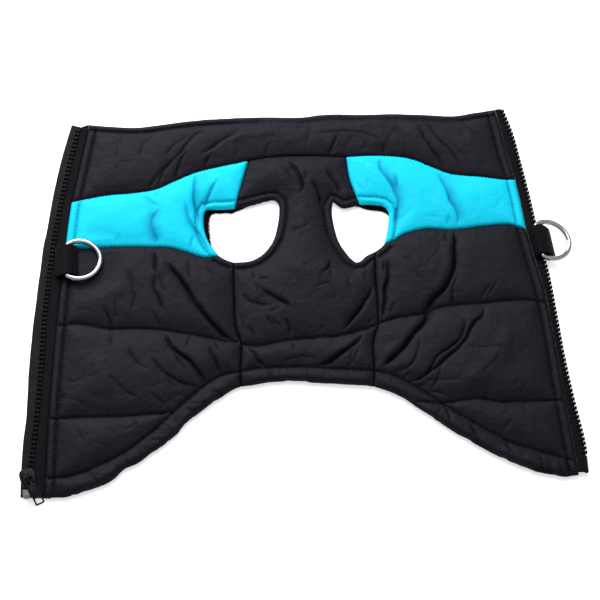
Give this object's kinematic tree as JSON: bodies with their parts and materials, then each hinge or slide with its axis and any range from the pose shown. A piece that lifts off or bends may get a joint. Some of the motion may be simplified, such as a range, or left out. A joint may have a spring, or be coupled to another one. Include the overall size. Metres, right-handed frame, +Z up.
{
  "type": "dog winter coat",
  "caption": "Padded dog vest unzipped and laid open flat, outer side up, with contrast shoulder yokes, leg openings, a gathered hem, a separating zip and webbing-held D-rings.",
  "frame": {"origin": "middle of the underside of the bounding box, on the surface that the vest lies on", "axes": "+X across the vest from the slider side to the insertion pin side, +Y from the hem to the neck, +Z up, out of the cloth's outer face"},
  "size_m": [0.3696, 0.2845, 0.0126],
  "materials": {
    "black_nylon": "woven nylon, soft sheen",
    "cyan_nylon": "woven nylon, soft sheen",
    "fleece": "napped fleece",
    "guard_cloth": "plain woven",
    "zip_tape": "herringbone tape",
    "zip_plastic": "moulded, satin",
    "pull_plastic": "moulded, glossy",
    "webbing": "ribbed webbing",
    "ring_steel": "polished"
  },
  "bodies": {
    "garment": {"neck_band": "black_nylon", "yoke_left": "cyan_nylon", "yoke_right": "cyan_nylon", "chest": "black_nylon", "side_left": "black_nylon", "side_right": "black_nylon", "lining": "fleece", "zip_guard": "guard_cloth", "zip_tape_left": "zip_tape", "zip_tape_right": "zip_tape", "zip_teeth_left": "zip_plastic", "zip_teeth_right": "zip_plastic", "insertion_pin": "zip_plastic", "retaining_box": "zip_plastic", "slider": "zip_plastic", "webbing_left": "webbing", "webbing_right": "webbing"},
    "ring_left": {"ring_left": "ring_steel"},
    "ring_right": {"ring_right": "ring_steel"},
    "pull": {"pull": "pull_plastic"}
  },
  "joints": [
    {"name": "ring_left_swing", "type": "hinge", "parent": "garment", "child": "ring_left", "pos_m": [-0.1543, 0.03197, 0.0098], "axis": [0, -1, 0], "range_deg": [0, 175]},
    {"name": "ring_right_swing", "type": "hinge", "parent": "garment", "child": "ring_right", "pos_m": [0.16207, 0.03335, 0.0083], "axis": [0.1177, -0.993, 0], "range_deg": [0, 170]},
    {"name": "pull_flip", "type": "hinge", "parent": "garment", "child": "pull", "pos_m": [-0.1799, -0.12313, 0.0082], "axis": [-0.909, -0.4169, 0], "range_deg": [0, 150]}
  ]
}
